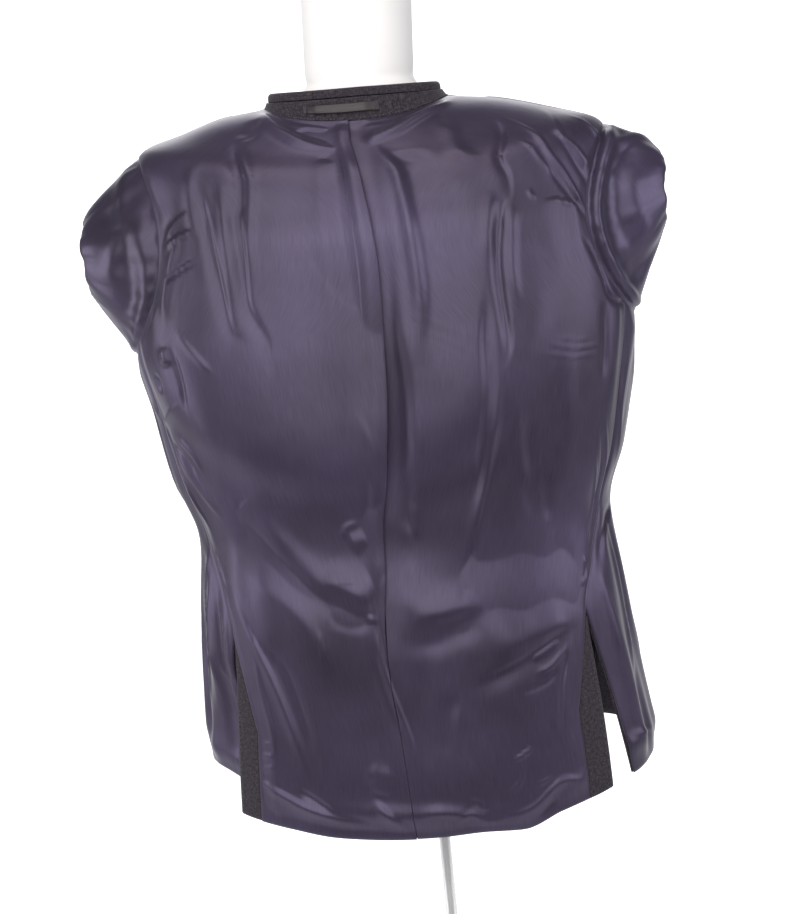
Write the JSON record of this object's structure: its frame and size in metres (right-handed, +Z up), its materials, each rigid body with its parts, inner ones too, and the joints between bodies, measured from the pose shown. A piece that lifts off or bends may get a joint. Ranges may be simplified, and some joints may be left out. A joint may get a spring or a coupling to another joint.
{
  "type": "sport coat turned inside out on a limbless dress form with a rod stand",
  "caption": "Tailored coat worn inside out, satin lining outwards, sleeves pushed in, side vents open, on a smooth dress form with rod and round base.",
  "frame": {"origin": "centre of the stand's round base on the floor, under the rod", "axes": "+Z up, +Y towards the coat's back, +X towards the wearer's left"},
  "size_m": [0.6023, 0.3, 1.591],
  "materials": {
    "lining": "slate-purple satin with a soft gloss",
    "wool": "dark charcoal heather wool, matt",
    "loop": "brown-grey satin tape",
    "sleeve": "slate-purple satin over wool",
    "jersey": "white stretch jersey, matt",
    "chrome": "polished",
    "horn": "dark horn"
  },
  "bodies": {
    "root": {"stand_base": "chrome", "stand_rod": "chrome", "stand_socket": "chrome", "form_torso": "jersey", "back_wool": "wool", "neck_facing": "wool", "hanger_loop": "loop", "collar": "wool", "back_lining_left": "lining", "back_lining_right": "lining", "vent_facing_left": "wool", "vent_facing_right": "wool", "side_wool_left": "wool", "side_wool_right": "wool", "side_lining_left": "lining", "side_lining_right": "lining", "front_wool_left": "wool", "front_wool_right": "wool", "front_facing_left": "wool", "front_facing_right": "wool", "front_lining_left": "lining", "front_lining_right": "lining", "lapel_left": "wool", "lapel_right": "wool", "sleeve_left": "sleeve", "sleeve_right": "sleeve", "front_button_1": "horn", "front_button_2": "horn"}
  },
  "joints": []
}
